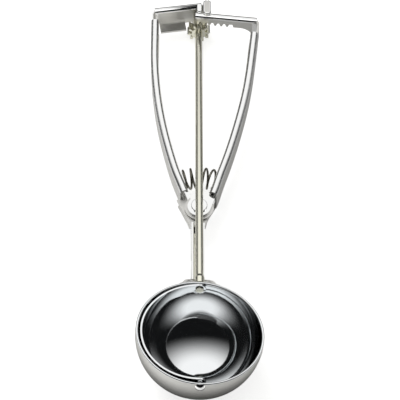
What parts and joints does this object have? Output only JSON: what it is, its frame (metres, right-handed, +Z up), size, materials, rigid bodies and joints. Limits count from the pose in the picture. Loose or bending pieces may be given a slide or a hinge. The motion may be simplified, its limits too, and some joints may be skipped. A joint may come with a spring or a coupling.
{
  "type": "ice cream scoop",
  "caption": "Lever ice cream scoop: half-ball cup with a sweeping wiper, turned through a rack and pinion by squeezing two sprung handles.",
  "frame": {"origin": "centre of the bowl's sphere, on the axis of the rod", "axes": "+Y from the bowl to the head of the handles, +Z up out of the bowl and parallel to the pivot rivet, +X to the lever's side"},
  "size_m": [0.0619, 0.2428, 0.0378],
  "materials": {
    "polished_steel": "mirror polish",
    "plated_steel": "bright plated",
    "satin_steel": "satin",
    "nickel": "warm nickel plate",
    "spring_steel": "dark drawn wire"
  },
  "bodies": {
    "fixed": {"bowl": "polished_steel", "saddle": "satin_steel", "lower_bush": "nickel", "tip_pivot": "plated_steel", "frame": "plated_steel", "back_yoke": "plated_steel", "front_washer": "satin_steel", "back_washer": "satin_steel", "pivot_sleeve": "satin_steel", "pivot_rivet": "plated_steel", "fixed_handle": "plated_steel", "top_bush": "nickel", "return_spring": "spring_steel"},
    "lever": {"lever_handle": "plated_steel"},
    "rod": {"spindle": "nickel", "spindle_collar": "nickel", "pinion": "nickel", "thrust_washer": "satin_steel", "retaining_ring": "satin_steel", "wiper": "polished_steel"}
  },
  "joints": [
    {"name": "lever_pivot", "type": "hinge", "parent": "fixed", "child": "lever", "pos_m": [0, 0.0815, -0.018], "axis": [0, 0, 1], "range_deg": [0, 7], "stiffness_Nm_per_rad": 8, "springref_deg": -3.44, "deforming": ["return_spring"]},
    {"name": "rod_turn", "type": "hinge", "parent": "fixed", "child": "rod", "pos_m": [0, 0, 0], "axis": [0, 0.9925, -0.1219], "range_deg": [-169.7, 0]}
  ],
  "couplings": [
    {"joint": "rod_turn", "follows": "lever_pivot", "ratio": -24.24}
  ]
}
